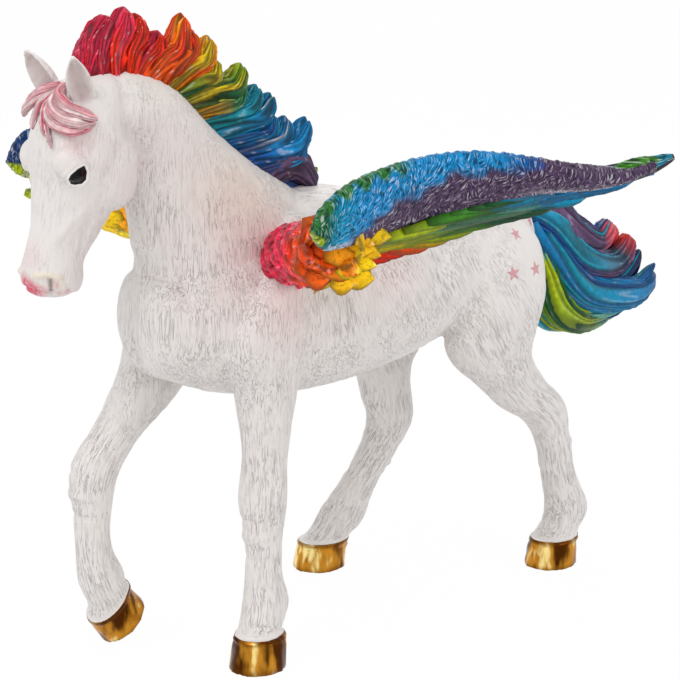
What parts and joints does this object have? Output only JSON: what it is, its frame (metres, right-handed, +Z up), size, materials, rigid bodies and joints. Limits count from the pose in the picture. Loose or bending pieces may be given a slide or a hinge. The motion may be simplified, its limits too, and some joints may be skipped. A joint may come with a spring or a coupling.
{
  "type": "winged horse figurine",
  "caption": "Walking winged horse figurine with raised wings, a standing flame-shaped mane and a waved tail, standing on its hooves as an ornament or a toy.",
  "frame": {"origin": "middle of the figurine's bounding box, at the level of the soles of its standing hooves", "axes": "+Z up, +X towards the horse's left side, +Y from its head towards its tail"},
  "size_m": [0.1178, 0.1636, 0.1243],
  "materials": {
    "white_body": "satin painted",
    "wing_paint": "hand-painted, rainbow colours with a pale dry-brushed relief",
    "mane_paint": "hand-painted in rainbow colours, glossy",
    "forelock_paint": "hand-painted in pink and white",
    "tail_paint": "hand-painted in blue, purple and green, glossy"
  },
  "bodies": {
    "root": {"torso": "white_body", "neck": "white_body", "head": "white_body", "left_foreleg": "white_body", "right_foreleg": "white_body", "left_hind_leg": "white_body", "right_hind_leg": "white_body", "left_wing": "wing_paint", "right_wing": "wing_paint", "mane": "mane_paint", "forelock": "forelock_paint", "tail": "tail_paint"}
  },
  "joints": []
}
